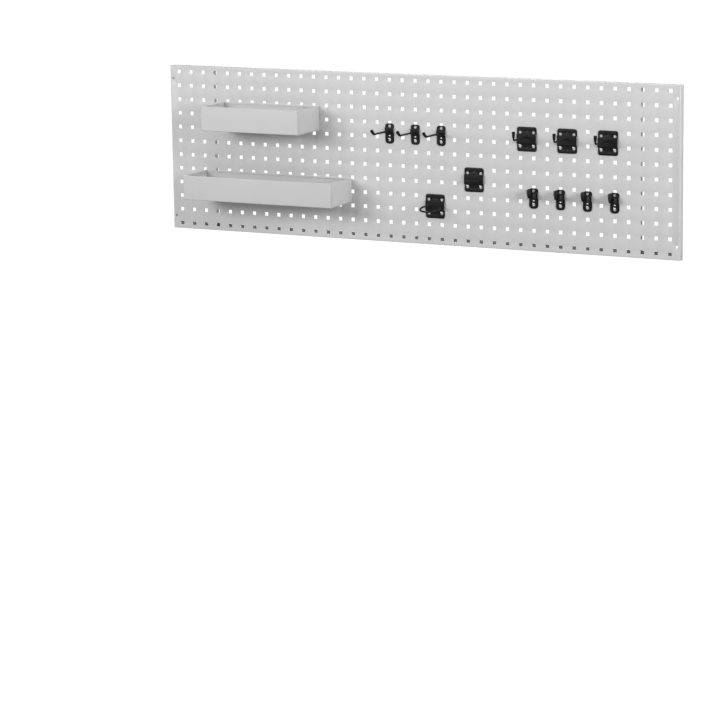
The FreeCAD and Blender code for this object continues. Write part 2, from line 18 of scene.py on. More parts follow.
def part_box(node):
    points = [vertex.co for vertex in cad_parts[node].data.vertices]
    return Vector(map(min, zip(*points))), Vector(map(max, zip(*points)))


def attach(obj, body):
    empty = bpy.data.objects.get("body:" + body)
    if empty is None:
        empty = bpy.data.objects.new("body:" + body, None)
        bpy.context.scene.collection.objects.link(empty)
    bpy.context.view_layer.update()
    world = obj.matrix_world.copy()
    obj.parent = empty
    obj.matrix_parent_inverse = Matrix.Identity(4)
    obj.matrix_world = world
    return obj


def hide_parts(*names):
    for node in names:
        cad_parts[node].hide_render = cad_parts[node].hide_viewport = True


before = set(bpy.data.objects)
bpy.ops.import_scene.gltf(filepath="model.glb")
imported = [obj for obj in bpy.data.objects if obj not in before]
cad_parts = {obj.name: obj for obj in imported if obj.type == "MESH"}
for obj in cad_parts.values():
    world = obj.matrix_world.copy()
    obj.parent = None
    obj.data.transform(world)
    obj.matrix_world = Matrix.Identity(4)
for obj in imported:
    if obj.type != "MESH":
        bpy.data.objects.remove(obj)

LOG = logging.getLogger("pegboard")
MM = 0.001
QUARTER_TURN = math.pi / 2
SAME_PLACE = 1e-6
FLAT_ANGLE = math.radians(0.5)
CORNER_ANGLE = math.radians(35.0)
SHARP_ANGLE = math.radians(40.0)
SHEET_SHARP_ANGLE = math.radians(30.0)

RIGHT = Vector((1, 0, 0))
FRONT = Vector((0, -1, 0))
UP = Vector((0, 0, 1))

Colour = tuple[float, float, float]
Shape = bmesh.types.BMesh
Face = bmesh.types.BMFace
Piece = bpy.types.Object
Tree = bpy.types.NodeTree
Socket = bpy.types.NodeSocket
Sockets = bpy.types.bpy_prop_collection
SocketInput = Socket | float | tuple[float, ...]


class Grain(Enum):
    """How coarse the skin of a coating is, as the size of its bumps in metres."""

    FINE = 0.0006
    MEDIUM = 0.0009


# Shader nodes


class NodeNet:
    """Adds and joins nodes in one node tree."""

    NODE_SPACING = 180.0

    def __init__(self, tree: Tree) -> None:
        """Keeps the tree and lays its nodes out in a row."""
        self.tree = tree
        self.next_x = 0.0

    def feed(self, target: Socket, value: SocketInput) -> None:
        """Joins a socket to an input socket, or sets the input to a plain value.

        Args:
            target: the input socket.
            value: the socket to join or the value to set.
        """
        if isinstance(value, Socket):
            self.tree.links.new(value, target)
        else:
            target.default_value = value

    def fill(self, node: bpy.types.Node, inputs: dict[str, SocketInput]) -> None:
        """Feeds a node's inputs by name, with underscores for spaces."""
        for name, value in inputs.items():
            self.feed(node.inputs[name.replace("_", " ")], value)

    def add(self, kind: str, **inputs: SocketInput) -> bpy.types.Node:
        """Adds a node and feeds some of its inputs.

        Args:
            kind: the node's type name.
            inputs: sockets or values by input name, with underscores for spaces.

        Returns:
            The node.
        """
        node = self.tree.nodes.new(kind)
        node.location = (self.next_x, 0.0)
        self.next_x += self.NODE_SPACING
        self.fill(node, inputs)
        return node

    def math(self, operation: str, first: Socket, second: Socket | float) -> Socket:
        """Adds a math node.

        Args:
            operation: name of the operation.
            first: first value.
            second: second value.

        Returns:
            The result socket.
        """
        node = self.add("ShaderNodeMath")
        node.operation = operation
        self.feed(node.inputs[0], first)
        self.feed(node.inputs[1], second)
        return node.outputs[0]

    def product(self, first: Socket, *others: Socket | float) -> Socket:
        """Multiplies values.

        Args:
            first: first value.
            others: all other values.

        Returns:
            The result socket.
        """
        for other in others:
            first = self.math("MULTIPLY", first, other)
        return first

    def pattern(self, place: Socket, scale: Socket | float, **character: float) -> Socket:
        """Adds a cloudy noise and returns its strength."""
        return self.add("ShaderNodeTexNoise", Vector=place, Scale=scale, **character).outputs["Fac"]

    def ramp(self, value: Socket, low: float, high: float, to_low: float = 0.0,
             to_high: float = 1.0) -> Socket:
        """Maps a range smoothly to another, held within its ends.

        Args:
            value: the value to map.
            low: value that gives to_low.
            high: value that gives to_high.
            to_low: result at low.
            to_high: result at high.

        Returns:
            The result socket.
        """
        node = self.add("ShaderNodeMapRange", Value=value, From_Min=low, From_Max=high,
                        To_Min=to_low, To_Max=to_high)
        node.interpolation_type = "SMOOTHSTEP"
        return node.outputs["Result"]

    def blend(self, factor: Socket, first: Socket | Colour, second: Colour) -> Socket:
        """Mixes two colours.

        Args:
            factor: share of the second colour.
            first: a colour or its socket.
            second: a colour.

        Returns:
            The mixed colour's socket.
        """
        node = self.add("ShaderNodeMix")
        node.data_type = "RGBA"
        self.feed(node.inputs[0], factor)
        self.feed(node.inputs[6], first if isinstance(first, Socket) else (*first, 1.0))
        self.feed(node.inputs[7], (*second, 1.0))
        return node.outputs[2]


class EffectGroups:
    """Shader node groups that more than one finish uses, each built once."""

    BROAD_BUMP_SCALE = 0.22
    BROAD_BUMP_SHARE = 0.4
    WORN_EDGE_RADIUS = 0.7 * MM
    WORN_EDGE_SAMPLES = 4
    SCUFF_STRETCH = (0.12, 1.0, 1.6)
    SCUFF_TURN = (0.0, 0.35, 0.2)
    FOLD_SOFTNESS = 0.8 * MM
    FOLD_REAR_SOFTNESS = 0.1 * MM
    FOLD_PATCH_SCALE = 45.0

    def __init__(self) -> None:
        """Builds every group."""
        self.skin = self._coating_skin()
        self.edges = self._edge_wear_and_highlight()
        self.marks = self._handling_marks()
        self.dust = self._settled_dust()
        self.painted_shade = self._painted_channel_shade()

    @staticmethod
    def _open(name: str, **inputs: float) -> tuple[NodeNet, Sockets]:
        """Starts a group with a vector input for the coordinates and some number inputs.

        Args:
            name: name of the group.
            inputs: default of each number input by its name, with underscores for spaces.

        Returns:
            The group's net and the values given to it, by name.
        """
        tree = bpy.data.node_groups.new(name, "ShaderNodeTree")
        tree.interface.new_socket("Coordinates", in_out="INPUT", socket_type="NodeSocketVector")
        for label, value in inputs.items():
            label = label.replace("_", " ")
            socket = tree.interface.new_socket(label, in_out="INPUT", socket_type="NodeSocketFloat")
            socket.default_value = value
        net = NodeNet(tree)
        return net, net.add("NodeGroupInput").outputs

    @staticmethod
    def _close(net: NodeNet, **results: Socket) -> Tree:
        """Gives a group its number outputs.

        Args:
            net: the group's net.
            results: value of each output by its name.

        Returns:
            The finished group.
        """
        for label in results:
            net.tree.interface.new_socket(label, in_out="OUTPUT", socket_type="NodeSocketFloat")
        net.add("NodeGroupOutput", **results)
        return net.tree

    def _coating_skin(self) -> Tree:
        """Fine bumps and soft tone patches of a sprayed and baked coating.

        Returns:
            Group with outputs Height and Patches, both from 0 to 1.
        """
        net, given = self._open("coating_skin", Bump_Scale=1500.0, Patch_Scale=9.0)
        place = given["Coordinates"]
        fine = net.pattern(place, given["Bump Scale"], Detail=2.0, Roughness=0.45)
        broad_scale = net.product(given["Bump Scale"], self.BROAD_BUMP_SCALE)
        broad = net.pattern(place, broad_scale, Detail=1.0, Roughness=0.5)
        height = net.math("ADD", net.product(fine, 1.0 - self.BROAD_BUMP_SHARE),
                          net.product(broad, self.BROAD_BUMP_SHARE))
        patches = net.pattern(place, given["Patch Scale"], Detail=3.0, Roughness=0.55)
        return self._close(net, Height=height, Patches=net.ramp(patches, 0.3, 0.7))

    def _edge_wear_and_highlight(self) -> Tree:
        """Broken-up mask along convex edges, where hands and tools rub the coating, and where the tray's
        finish paints highlight lines.

        Returns:
            Group with the output Mask, from 0 to 1.
        """
        net, given = self._open("edge_wear_and_highlight", Break_Scale=120.0, Amount=0.5)
        rounded = net.add("ShaderNodeBevel", Radius=self.WORN_EDGE_RADIUS)
        rounded.samples = self.WORN_EDGE_SAMPLES
        facing = net.add("ShaderNodeVectorMath")
        facing.operation = "DOT_PRODUCT"
        net.feed(facing.inputs[0], rounded.outputs["Normal"])
        net.feed(facing.inputs[1], net.add("ShaderNodeNewGeometry").outputs["Normal"])
        edge = net.ramp(facing.outputs["Value"], 0.995, 0.86)
        patchy = net.pattern(given["Coordinates"], given["Break Scale"], Detail=4.0, Roughness=0.65)
        return self._close(net, Mask=net.product(edge, net.ramp(patchy, 0.52, 0.66), given["Amount"]))

    def _handling_marks(self) -> Tree:
        """Faint long scuffs and smudges from use.

        Returns:
            Group with the outputs Scuffs and Smudges, from 0 to 1.
        """
        net, given = self._open("handling_marks", Scuff_Scale=60.0, Smudge_Scale=14.0)
        place = given["Coordinates"]
        stretch = net.add("ShaderNodeMapping", Vector=place, Scale=self.SCUFF_STRETCH,
                          Rotation=self.SCUFF_TURN)
        scuff = net.pattern(stretch.outputs["Vector"], given["Scuff Scale"], Detail=5.0, Roughness=0.7)
        smudge = net.pattern(place, given["Smudge Scale"], Detail=2.0, Roughness=0.5, Distortion=0.8)
        return self._close(net, Scuffs=net.ramp(scuff, 0.6, 0.72), Smudges=net.ramp(smudge, 0.5, 0.75))

    def _settled_dust(self) -> Tree:
        """Thin uneven film on faces that look up.

        Returns:
            Group with the output Mask, from 0 to 1.
        """
        net, given = self._open("settled_dust", Patch_Scale=35.0, Amount=0.3)
        normal = net.add("ShaderNodeNewGeometry").outputs["Normal"]
        upward = net.ramp(net.add("ShaderNodeSeparateXYZ", Vector=normal).outputs["Z"], 0.35, 0.95)
        patchy = net.pattern(given["Coordinates"], given["Patch Scale"], Detail=4.0, Roughness=0.6)
        return self._close(net, Mask=net.product(upward, net.ramp(patchy, 0.35, 0.75), given["Amount"]))

    def _painted_channel_shade(self) -> Tree:
        """Painted shade in a fold, below a height and between a front and a back, broken into patches.

        Returns:
            Group with the output Mask, from 0 to 1.
        """
        net, given = self._open("painted_channel_shade", Top=0.0, Front=0.0, Back=0.0, Amount=0.8)
        split = net.add("ShaderNodeSeparateXYZ", Vector=given["Coordinates"]).outputs
        below = net.math("SUBTRACT", given["Top"], split["Z"])
        behind = net.math("SUBTRACT", split["Y"], given["Front"])
        before = net.math("SUBTRACT", given["Back"], split["Y"])
        patchy = net.pattern(given["Coordinates"], self.FOLD_PATCH_SCALE, Detail=4.0, Roughness=0.6)
        mask = net.product(
            net.ramp(below, 0.0, self.FOLD_SOFTNESS),
            net.ramp(behind, 0.0, self.FOLD_SOFTNESS),
            net.ramp(before, 0.0, self.FOLD_REAR_SOFTNESS),
            net.ramp(patchy, 0.25, 0.6, 0.75, 1.0),
            given["Amount"],
        )
        return self._close(net, Mask=mask)


# Finishes


class MaterialNet(NodeNet):
    """Nodes of one material, with the piece's coordinates and the shared effects at hand."""

    def __init__(self, tree: Tree, groups: EffectGroups) -> None:
        """Keeps the effects and adds the coordinates.

        Args:
            tree: the material's tree.
            groups: the shared effects.
        """
        super().__init__(tree)
        self.groups = groups
        self.place = self.add("ShaderNodeTexCoord").outputs["Object"]

    def effect(self, tree: Tree, **inputs: float) -> Sockets:
        """Places a shared effect on the piece's coordinates.

        Args:
            tree: the effect's node group.
            inputs: values by input name, with underscores for spaces.

        Returns:
            The effect's outputs by name.
        """
        node = self.add("ShaderNodeGroup")
        node.node_tree = tree
        self.fill(node, {"Coordinates": self.place, **inputs})
        return node.outputs


@dataclass(frozen=True)
class Surface:
    """Patterns that drive a finish's shader."""

    colour: Socket
    roughness: Socket
    relief: Socket


@dataclass(frozen=True, kw_only=True)
class Finish:
    """What every finish has, from which its material is made."""

    name: str
    slot: str
    colour: Colour
    roughness: float
    smoother: float
    rougher: float
    specular: float
    bump_strength: float
    bump_height: float
    metallic: float = 0.0

    def make(self, groups: EffectGroups) -> bpy.types.Material:
        """Builds the material.

        Args:
            groups: the shared effects.

        Returns:
            The material.
        """
        material = bpy.data.materials.new(self.name)
        material.use_nodes = True
        material.node_tree.nodes.clear()
        net = MaterialNet(material.node_tree, groups)
        surface = self.surface(net)
        bump = net.add("ShaderNodeBump", Strength=self.bump_strength, Distance=self.bump_height,
                       Height=surface.relief)
        shader = net.add(
            "ShaderNodeBsdfPrincipled", Base_Color=surface.colour, Roughness=surface.roughness,
            Metallic=self.metallic, Specular_IOR_Level=self.specular, Normal=bump.outputs["Normal"],
        )
        net.add("ShaderNodeOutputMaterial", Surface=shader.outputs["BSDF"])
        return material

    def surface(self, net: MaterialNet) -> Surface:
        """Builds the finish's own patterns among its material's nodes."""
        raise NotImplementedError

    def patchy_roughness(self, net: NodeNet, patches: Socket) -> Socket:
        """Roughness that goes from smoother to rougher with the skin's patches."""
        return net.ramp(patches, 0.0, 1.0, self.roughness - self.smoother, self.roughness + self.rougher)


@dataclass(frozen=True)
class PaintedChannelShade:
    """Fold of a sheet that is painted darker to stand for the shade inside it, as its limits in the
    object's frame.
    """

    top: float
    front: float
    back: float
    amount: float
    colour: Colour


@dataclass(frozen=True, kw_only=True)
class CoatedSteel(Finish):
    """Steel with a baked powder coat, from its colour and how much use it shows."""

    patch_colour: Colour
    worn_colour: Colour
    dust_colour: Colour
    grain: Grain
    wear: float
    dust: float
    scuff_lift: float
    patch_scale: float = 7.0
    wear_scale: float = 140.0
    scuff_scale: float = 70.0
    smudge_scale: float = 11.0
    dust_scale: float = 30.0
    smudge_gloss: float = 0.06
    dust_roughness: float = 0.3
    smoother: float = 0.03
    rougher: float = 0.04
    bump_strength: float = 0.35
    channel_shade: PaintedChannelShade | None = None

    def surface(self, net: MaterialNet) -> Surface:
        """Builds the coat's patches, worn edges (on the tray also a painted highlight), marks and dust,
        and any painted shade in a fold.

        Args:
            net: the material's nodes.

        Returns:
            The patterns.
        """
        use = net.groups
        skin = net.effect(use.skin, Bump_Scale=1.0 / self.grain.value, Patch_Scale=self.patch_scale)
        edges = net.effect(use.edges, Break_Scale=self.wear_scale, Amount=self.wear)
        marks = net.effect(use.marks, Scuff_Scale=self.scuff_scale, Smudge_Scale=self.smudge_scale)
        dust = net.effect(use.dust, Patch_Scale=self.dust_scale, Amount=self.dust)
        colour = net.blend(skin["Patches"], self.colour, self.patch_colour)
        colour = net.blend(net.product(marks["Scuffs"], self.scuff_lift), colour, self.worn_colour)
        # Edges blend towards the worn colour: wear on every coat, and on the tray a painted highlight as
        # well.
        colour = net.blend(edges["Mask"], colour, self.worn_colour)
        colour = net.blend(dust["Mask"], colour, self.dust_colour)
        # Painted shade: darkens the fold of the panel's bottom channel, which lies in shadow behind the
        # holes.
        if self.channel_shade:
            fold_shade = self.channel_shade
            limits = {"Top": fold_shade.top, "Front": fold_shade.front, "Back": fold_shade.back, "Amount": fold_shade.amount}
            colour = net.blend(net.effect(use.painted_shade, **limits)["Mask"], colour, fold_shade.colour)
        rough = self.patchy_roughness(net, skin["Patches"])
        rough = net.math("SUBTRACT", rough, net.product(marks["Smudges"], self.smudge_gloss))
        rough = net.math("ADD", rough, net.product(dust["Mask"], self.dust_roughness))
        return Surface(colour, rough, skin["Height"])


@dataclass(frozen=True, kw_only=True)
class BlackenedSteel(Finish):
    """Dark oxidised spring steel with fine brushing along its length."""

    bright_colour: Colour
    brush_scale: float
    brush_stretch: tuple[float, float, float] = (0.06, 0.06, 1.0)
    skin_scale: float = 1100.0
    patch_scale: float = 60.0
    worn_colour: Colour = (0.16, 0.16, 0.165)
    wear_scale: float = 260.0
    wear: float = 0.6
    smoother: float = 0.05
    rougher: float = 0.08
    specular: float = 0.3
    metallic: float = 0.25
    bump_strength: float = 0.25
    bump_height: float = 0.1 * MM

    def surface(self, net: MaterialNet) -> Surface:
        """Builds the brushing and the bright edges.

        Args:
            net: the material's nodes.

        Returns:
            The patterns.
        """
        stretch = net.add("ShaderNodeMapping", Vector=net.place, Scale=self.brush_stretch)
        brushing = net.pattern(stretch.outputs["Vector"], self.brush_scale, Detail=4.0, Roughness=0.6)
        use = net.groups
        skin = net.effect(use.skin, Bump_Scale=self.skin_scale, Patch_Scale=self.patch_scale)
        edges = net.effect(use.edges, Break_Scale=self.wear_scale, Amount=self.wear)
        colour = net.blend(net.ramp(brushing, 0.3, 0.75), self.colour, self.bright_colour)
        colour = net.blend(edges["Mask"], colour, self.worn_colour)
        return Surface(colour, self.patchy_roughness(net, skin["Patches"]), brushing)


@dataclass(frozen=True, kw_only=True)
class MouldedPlastic(Finish):
    """Soft moulded plastic with a fine matte skin and faint handling marks."""

    rubbed_colour: Colour
    dust_colour: Colour = (0.09, 0.09, 0.085)
    skin_scale: float = 2400.0
    patch_scale: float = 90.0
    scuff_scale: float = 220.0
    scuff_lift: float = 0.35
    smudge_scale: float = 70.0
    smudge_gloss: float = 0.1
    dust_scale: float = 160.0
    dust: float = 0.12
    smoother: float = 0.06
    rougher: float = 0.08
    bump_strength: float = 0.3
    bump_height: float = 0.06 * MM

    def surface(self, net: MaterialNet) -> Surface:
        """Builds the matte skin, the rubbed marks and the dust.

        Args:
            net: the material's nodes.

        Returns:
            The patterns.
        """
        use = net.groups
        skin = net.effect(use.skin, Bump_Scale=self.skin_scale, Patch_Scale=self.patch_scale)
        marks = net.effect(use.marks, Scuff_Scale=self.scuff_scale, Smudge_Scale=self.smudge_scale)
        dust = net.effect(use.dust, Patch_Scale=self.dust_scale, Amount=self.dust)
        rubbed = net.product(marks["Scuffs"], self.scuff_lift)
        colour = net.blend(rubbed, self.colour, self.rubbed_colour)
        colour = net.blend(dust["Mask"], colour, self.dust_colour)
        rough = self.patchy_roughness(net, skin["Patches"])
        rough = net.math("SUBTRACT", rough, net.product(marks["Smudges"], self.smudge_gloss))
        return Surface(colour, rough, skin["Height"])


class Finishes:
    """The object's finishes and their materials."""

    PANEL = CoatedSteel(
        name="panel_light_grey_coat", slot="panel_coat", colour=(0.530, 0.530, 0.532),
        patch_colour=(0.545, 0.545, 0.547), worn_colour=(0.62, 0.62, 0.62), dust_colour=(0.60, 0.59, 0.57),
        roughness=0.50, specular=0.35, grain=Grain.FINE, bump_height=0.08 * MM, wear=0.35, dust=0.15,
        scuff_lift=0.10,
        # Painted shade: the dark patchy band inside the bottom channel stands for its shadow.
        channel_shade=PaintedChannelShade(
            top=-207.2 * MM, front=2.2 * MM, back=17.25 * MM, amount=0.2, colour=(0.150, 0.147, 0.140),
        ),
    )
    # The tray's pale worn colour and high wear paint highlight lines along its rims and folded edges, on
    # top of real edge wear.
    TRAY = CoatedSteel(
        name="tray_light_grey_coat", slot="tray_coat", colour=(0.505, 0.505, 0.507),
        patch_colour=(0.518, 0.518, 0.520), worn_colour=(0.76, 0.76, 0.76), dust_colour=(0.60, 0.59, 0.57),
        roughness=0.46, specular=0.35, grain=Grain.FINE, bump_height=0.08 * MM, wear=0.9, dust=0.25,
        scuff_lift=0.16,
    )
    HOLDER = CoatedSteel(
        name="holder_black_coat", slot="holder_coat", colour=(0.0060, 0.0060, 0.0062),
        patch_colour=(0.0085, 0.0085, 0.0087), worn_colour=(0.070, 0.070, 0.072),
        dust_colour=(0.11, 0.11, 0.105), roughness=0.44, specular=0.16, grain=Grain.MEDIUM,
        bump_height=0.14 * MM, wear=0.45, dust=0.10, scuff_lift=0.22,
    )
    SPRING = BlackenedSteel(
        name="spring_blackened_steel", slot="spring_coat", colour=(0.011, 0.011, 0.012),
        bright_colour=(0.019, 0.019, 0.020), roughness=0.46, brush_scale=900.0,
    )
    CAP = MouldedPlastic(
        name="cap_black_plastic", slot="cap_plastic", colour=(0.0048, 0.0048, 0.0050),
        rubbed_colour=(0.020, 0.020, 0.021), roughness=0.62, specular=0.12,
    )
    RIVET = BlackenedSteel(
        name="rivet_blackened_steel", slot="rivet_metal", colour=(0.012, 0.012, 0.013),
        bright_colour=(0.022, 0.022, 0.023), roughness=0.40, brush_scale=600.0,
    )

    def __init__(self) -> None:
        """Builds each finish's material once."""
        groups = EffectGroups()
        finishes = (self.PANEL, self.TRAY, self.HOLDER, self.SPRING, self.CAP, self.RIVET)
        self.made = {finish.name: finish.make(groups) for finish in finishes}

    def dress(self, piece: Piece, finish: Finish) -> None:
        """Gives a piece a finish's material.

        Args:
            piece: the piece.
            finish: the finish.
        """
        piece.data.materials.clear()
        piece.data.materials.append(self.made[finish.name])


# Mesh tools


class Former:
    """Grows one solid by pushing its newest end face along straight runs and round bends."""

    def __init__(self, shape: Shape, face: Face, heading: Vector) -> None:
        """Starts from a face.

        Args:
            shape: the mesh that the face is in.
            face: the first end face.
            heading: direction in which the solid grows.
        """
        self.shape = shape
        self.end = face
        self.heading = heading.normalized()

    def run(self, length: float, steps: int = 1) -> "Former":
        """Grows straight on.

        Args:
            length: how far.
            steps: number of equal pieces, for later bending or texture.

        Returns:
            This former.
        """
        for _ in range(steps):
            grown = bmesh.ops.extrude_face_region(self.shape, geom=[self.end])["geom"]
            points = [part for part in grown if isinstance(part, bmesh.types.BMVert)]
            bmesh.ops.translate(self.shape, verts=points, vec=self.heading * (length / steps))
            self.end = next(part for part in grown if isinstance(part, Face))
        return self

    def bend(self, angle: float, toward: Vector, radius: float, steps: int = 10) -> "Former":
        """Grows round a bend.

        Args:
            angle: how far to turn, in radians.
            toward: direction to turn towards, square to the heading.
            radius: radius of the bend at the middle of the section.
            steps: number of facets round the bend.

        Returns:
            This former.
        """
        toward = toward.normalized()
        axis = self.heading.cross(toward)
        centre = self.end.calc_center_median() + toward * radius
        spun = bmesh.ops.spin(
            self.shape, geom=[self.end], cent=centre, axis=axis, angle=angle, steps=steps,
            use_duplicate=False,
        )["geom_last"]
        self.end = next(part for part in spun if isinstance(part, Face))
        self.heading = Matrix.Rotation(angle, 3, axis) @ self.heading
        return self


class MeshTools:
    """Small steps that every piece goes through."""

    @staticmethod
    def disc(shape: Shape, centre: Vector, radius: float, heading: Vector, segments: int) -> Face:
        """Adds a round face.

        Args:
            shape: the mesh to add to.
            centre: middle of the face.
            radius: its radius.
            heading: its normal.
            segments: number of its edges.

        Returns:
            The face.
        """
        place = Matrix.Translation(centre) @ heading.to_track_quat("Z", "Y").to_matrix().to_4x4()
        made = bmesh.ops.create_circle(
            shape, cap_ends=True, radius=radius, segments=segments, matrix=place,
        )
        return made["verts"][0].link_faces[0]

    @staticmethod
    def turned(shape: Shape, base: Vector, heading: Vector, profile: list[tuple[float, float]],
               facets: int) -> None:
        """Adds a solid of round sections that change size along an axis.

        Args:
            shape: the mesh to add to.
            base: start of the axis.
            heading: direction of the axis.
            profile: distance from the base and radius of each section, in order.
            facets: number of facets round the axis.
        """
        heading = heading.normalized()
        first, radius = profile[0]
        start = base + heading * first
        former = Former(shape, MeshTools.disc(shape, start, radius, heading, facets), heading)
        for (before, old_radius), (after, new_radius) in zip(profile, profile[1:]):
            former.run(max(after - before, SAME_PLACE))
            middle = former.end.calc_center_median()
            for point in former.end.verts:
                point.co = middle + (point.co - middle) * (new_radius / old_radius)

    @staticmethod
    def rounded(shape: Shape, edges: Iterable[bmesh.types.BMEdge], radius: float,
                segments: int = 4, clamp: bool = False) -> None:
        """Rounds edges.

        Args:
            shape: the mesh.
            edges: the edges.
            radius: radius of the rounding.
            segments: number of its facets.
            clamp: makes the rounding smaller where edges are close.
        """
        bmesh.ops.bevel(
            shape, geom=list(edges), offset=radius, segments=segments, profile=0.5, affect="EDGES",
            clamp_overlap=clamp, material=-1,
        )

    @staticmethod
    def hoop(shape: Shape, face: Face, centre: Vector, axis: Vector, steps: int) -> None:
        """Spins the outline of a face once round an axis into a closed ring.

        Args:
            shape: the mesh.
            face: the ring's section, which is deleted.
            centre: middle of the ring.
            axis: direction of its axis.
            steps: number of facets round the ring.
        """
        outline = list(face.verts) + list(face.edges)
        bmesh.ops.delete(shape, geom=[face], context="FACES_ONLY")
        bmesh.ops.spin(
            shape, geom=outline, cent=centre, axis=axis, angle=math.tau, steps=steps, use_merge=True,
            use_duplicate=False,
        )

    @staticmethod
    def finish(shape: Shape, name: str, body: str, node: str = "") -> Piece:
        """Turns a built mesh into a smooth-shaded piece that rides on a body.

        Args:
            shape: the mesh, which is freed.
            name: the piece's name.
            body: the body that it rides on.
            node: the solid that the piece replaces, if there is one.

        Returns:
            The piece.
        """
        bmesh.ops.remove_doubles(shape, verts=shape.verts, dist=SAME_PLACE)
        bmesh.ops.recalc_face_normals(shape, faces=shape.faces)
        return MeshTools.place(shape, name, body, node, SHARP_ANGLE)

    @staticmethod
    def softened(node: str, name: str, body: str, edge_radius: float) -> Piece:
        """Copies a solid as a piece with its cut and folded edges rounded.

        Args:
            node: the solid to copy, which the piece replaces.
            name: the piece's name.
            body: the body that it rides on.
            edge_radius: radius of the rounded edges.

        Returns:
            The piece.
        """
        shape = bmesh.new()
        shape.from_mesh(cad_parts[node].data)
        bmesh.ops.remove_doubles(shape, verts=shape.verts, dist=2 * SAME_PLACE)
        bmesh.ops.dissolve_limit(
            shape, angle_limit=FLAT_ANGLE, use_dissolve_boundaries=False, verts=shape.verts,
            edges=shape.edges, delimit={"NORMAL"},
        )
        convex = [
            edge for edge in shape.edges
            if edge.is_manifold and edge.calc_face_angle_signed() > CORNER_ANGLE
        ]
        MeshTools.rounded(shape, convex, edge_radius, segments=2, clamp=True)
        bmesh.ops.triangulate(shape, faces=[face for face in shape.faces if len(face.verts) > 4])
        return MeshTools.place(shape, name, body, node, SHEET_SHARP_ANGLE)

    @staticmethod
    def place(shape: Shape, name: str, body: str, node: str, sharp_angle: float) -> Piece:
        """Puts a mesh in the scene as a smooth-shaded piece that rides on a body.

        Args:
            shape: the mesh, which is freed.
            name: the piece's name.
            body: the body that it rides on.
            node: the solid that the piece replaces, or nothing.
            sharp_angle: edges that turn by more stay sharp.

        Returns:
            The piece.
        """
        data = bpy.data.meshes.new(name)
        shape.to_mesh(data)
        shape.free()
        data.shade_smooth()
        data.set_sharp_from_angle(angle=sharp_angle)
        piece = bpy.data.objects.new(name, data)
        bpy.context.scene.collection.objects.link(piece)
        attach(piece, body)
        if node:
            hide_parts(node)
        return piece


@dataclass(frozen=True)
class WeldBead:
    """Rippled bead of weld round the foot of a rod."""

    radius: float = 1.15 * MM
    stand_off: float = 0.35 * MM
    rise: float = 0.30 * MM
    ripple: float = 0.12 * MM
    ripples: float = 9.0
    grit: float = 0.10 * MM
    grit_scale: float = 900.0
    facets: int = 10
    steps: int = 36

    def lay(self, shape: Shape, foot: Vector, rod_radius: float, seed: float) -> None:
        """Adds the bead to a rod that stands out to the front.

        Args:
            shape: the mesh to add to.
            foot: centre of the rod where it meets its plate.
            rod_radius: the rod's radius.
            seed: shifts the ripples, so that no two beads are alike.
        """
        sideways = FRONT.orthogonal().normalized()
        around = FRONT.cross(sideways)
        middle = foot + sideways * (rod_radius + self.stand_off) + FRONT * self.rise
        face = MeshTools.disc(shape, middle, self.radius, around, self.facets)
        first_ring = list(face.verts)
        before = set(shape.verts)
        MeshTools.hoop(shape, face, foot, FRONT, self.steps)
        bead = [point for point in shape.verts if point not in before]
        for point in bead + [point for point in first_ring if point.is_valid]:
            out = point.co - foot
            along = out.dot(FRONT)
            radial = out - FRONT * along
            turn = math.atan2(radial.dot(around), radial.dot(sideways))
            ripple = self.ripple * math.sin(turn * self.ripples + seed)
            ripple += self.grit * noise.noise(point.co * self.grit_scale)
            if along > 0.0:
                point.co += radial.normalized() * ripple + FRONT * max(0.0, ripple)
            point.co -= FRONT * min(0.0, (point.co - foot).dot(FRONT))


# Sub-assemblies


class SubAssembly:
    """Part of the object that builds its pieces and dresses them."""

    def pieces(self) -> Iterator[tuple[Piece, Finish]]:
        """Builds each piece and names its finish."""
        raise NotImplementedError

    def build(self, finishes: Finishes) -> list[Piece]:
        """Builds and dresses the pieces.

        Args:
            finishes: the object's finishes.

        Returns:
            The pieces.
        """
        dressed = []
        for piece, finish in self.pieces():
            finishes.dress(piece, finish)
            dressed.append(piece)
        return dressed


@dataclass(kw_only=True)
class PlateHolder(SubAssembly):
    """Holder on a pressed plate that hangs in the panel's holes."""

    body: str
    plate_edge_radius: float = 0.35 * MM

    def plate(self) -> Piece:
        """Copies the holder's plate with softened edges."""
        name = f"{self.body.removesuffix('_holder')}_pressed_plate"
        return MeshTools.softened(f"{self.body}_plate", name, self.body, self.plate_edge_radius)


@dataclass
class WallPanel(SubAssembly):
    """Perforated panel with its two rear stiffeners."""

    hole_edge_radius: float = 0.25 * MM
    channel_edge_radius: float = 0.20 * MM

    def pieces(self) -> Iterator[tuple[Piece, Finish]]:
        """Builds the sheet and the channels.

        Yields:
            Each piece and its finish.
        """
        sheet = MeshTools.softened("perforated_panel", "panel_sheet", "panel", self.hole_edge_radius)
        yield sheet, Finishes.PANEL
        for side in ("left", "right"):
            channel = MeshTools.softened(
                f"{side}_stiffener", f"panel_{side}_channel", "panel", self.channel_edge_radius,
            )
            yield channel, Finishes.PANEL


